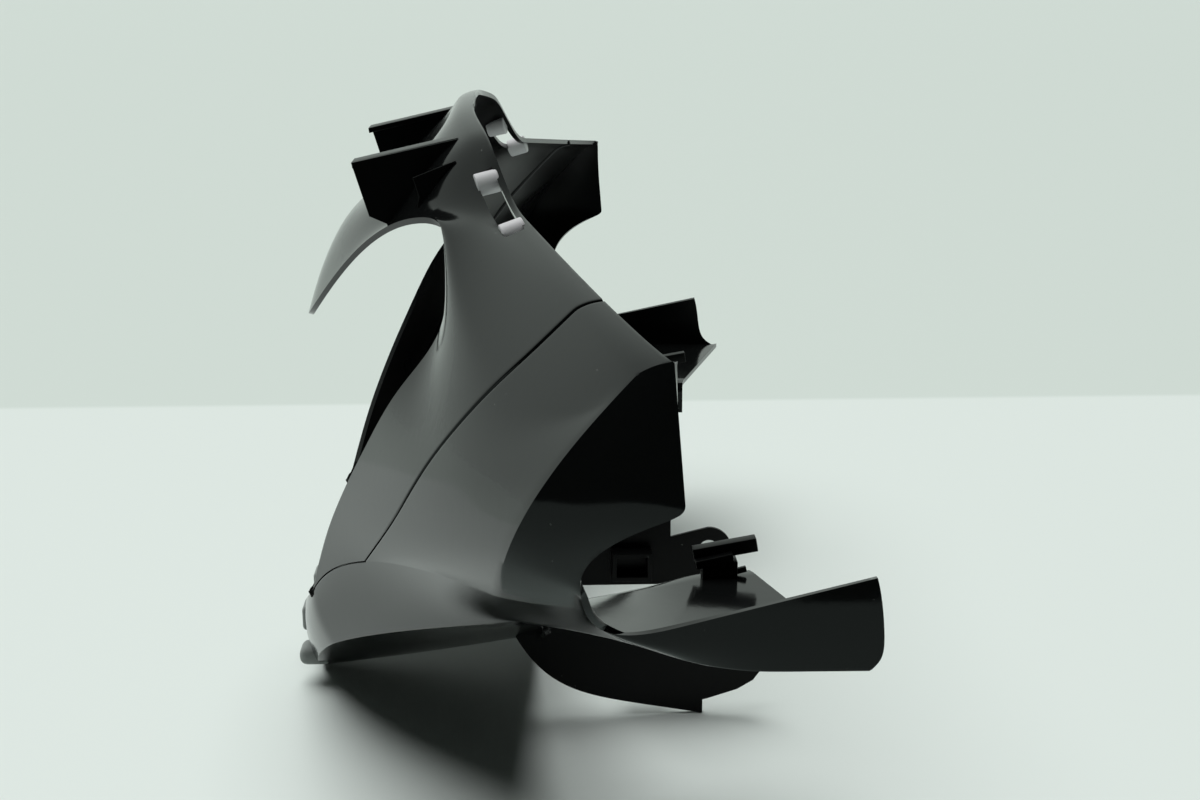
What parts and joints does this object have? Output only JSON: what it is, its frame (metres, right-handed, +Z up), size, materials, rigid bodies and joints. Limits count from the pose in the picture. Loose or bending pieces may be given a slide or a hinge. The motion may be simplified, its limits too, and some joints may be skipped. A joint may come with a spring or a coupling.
{
  "type": "scooter handlebar cover",
  "caption": "One-piece front cover for a scooter's handlebar: a swept shell round a headlamp opening, with notched end faces, rear arms, a floor, a centre skirt and ribs.",
  "frame": {"origin": "middle of the bounding box at the level of the table it stands on", "axes": "+Z up, -Y towards the scooter's front, X across the scooter, symmetry plane at X = 0"},
  "size_m": [0.532, 0.211, 0.252],
  "materials": {
    "cover": "gloss black"
  },
  "bodies": {
    "root": {"handlebar_cover": "cover"}
  },
  "joints": []
}
